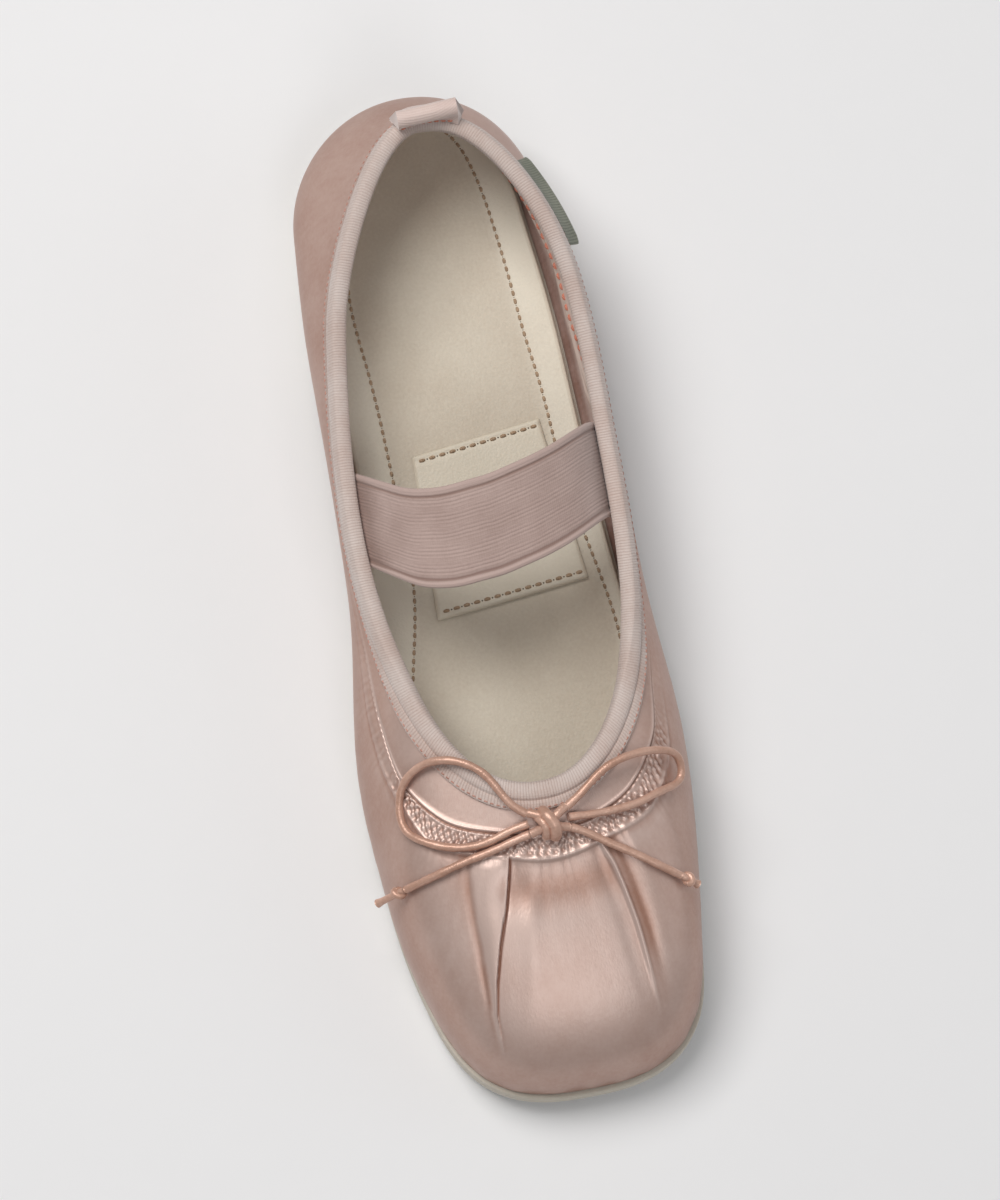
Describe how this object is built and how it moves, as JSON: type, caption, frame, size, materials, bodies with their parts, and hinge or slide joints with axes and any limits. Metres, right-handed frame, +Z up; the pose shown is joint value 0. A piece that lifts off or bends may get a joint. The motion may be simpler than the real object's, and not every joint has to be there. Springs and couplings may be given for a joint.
{
  "type": "mary jane ballet flat",
  "caption": "Soft square-toe ballet flat for the left foot with a low rubber sole, bound collar, elastic instep strap, heel tab and thin cord bow.",
  "frame": {"origin": "centre of the shoe's footprint on the floor, midway between heel back and toe tip", "axes": "+Z up, +Y from the toe towards the heel, +X towards the outer side of the left foot"},
  "size_m": [0.0856, 0.2587, 0.0657],
  "materials": {
    "upper": "pale pink satin",
    "outsole": "matte cream rubber",
    "insole": "matte greige leather",
    "topline_binding": "pink beige folded tape",
    "elastic_strap": "dusty pink ribbed elastic",
    "heel_tab": "pale pink satin ribbon",
    "side_label": "grey green woven label",
    "bow_cord": "rose satin cord"
  },
  "bodies": {
    "root": {"upper": "upper", "outsole": "outsole", "insole": "insole", "insole_patch": "insole", "topline_binding": "topline_binding", "elastic_strap": "elastic_strap", "heel_tab": "heel_tab", "side_label": "side_label", "bow_knot": "bow_cord", "bow_loop_medial": "bow_cord", "bow_loop_lateral": "bow_cord", "bow_tail_medial": "bow_cord", "bow_tail_lateral": "bow_cord", "tail_knot_medial": "bow_cord", "tail_knot_lateral": "bow_cord"}
  },
  "joints": []
}
